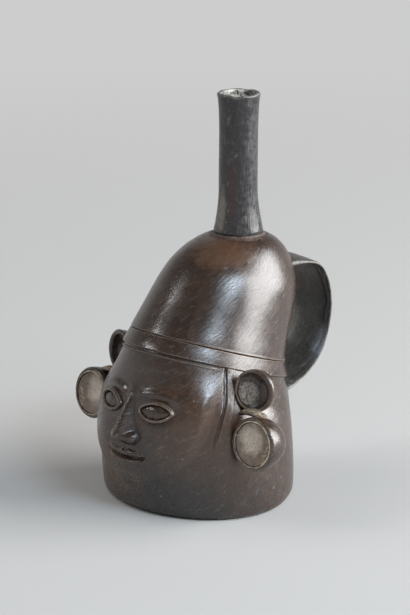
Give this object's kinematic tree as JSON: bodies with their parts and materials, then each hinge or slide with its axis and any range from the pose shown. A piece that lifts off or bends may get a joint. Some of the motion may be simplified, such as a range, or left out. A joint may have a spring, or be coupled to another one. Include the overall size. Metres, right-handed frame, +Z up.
{
  "type": "head-shaped bottle with tube spout and strap handle",
  "caption": "Burnished blackware bottle in the form of a capped head leaning back, with ear spools, a tall tube spout and a strap handle behind.",
  "frame": {"origin": "middle of the flat underside, on the resting plane", "axes": "+Z up along the spout, -Y out of the face, +X towards the head's own left ear"},
  "size_m": [0.191, 0.1914, 0.2703],
  "materials": {
    "brown_clay": "burnished reduction-fired clay, chocolate brown to black",
    "smoked_clay": "burnished clay smoked to charcoal black",
    "worn_clay": "burnished clay worn paler on rims and dishes"
  },
  "bodies": {
    "root": {"face_half": "brown_clay", "rear_half": "brown_clay", "floor_disc": "smoked_clay", "spout_tube": "smoked_clay", "spout_luting_coil": "worn_clay", "strap_handle": "smoked_clay", "headband": "brown_clay", "nose": "brown_clay", "side_strap_left": "brown_clay", "side_strap_right": "brown_clay", "ear_left": "brown_clay", "ear_right": "brown_clay", "ear_lobe_left": "worn_clay", "ear_lobe_right": "worn_clay", "ear_spool_barrel_left": "brown_clay", "ear_spool_barrel_right": "brown_clay", "ear_spool_cup_left": "worn_clay", "ear_spool_cup_right": "worn_clay", "eyelid_left": "brown_clay", "eyelid_right": "brown_clay", "eyeball_left": "brown_clay", "eyeball_right": "brown_clay"}
  },
  "joints": []
}
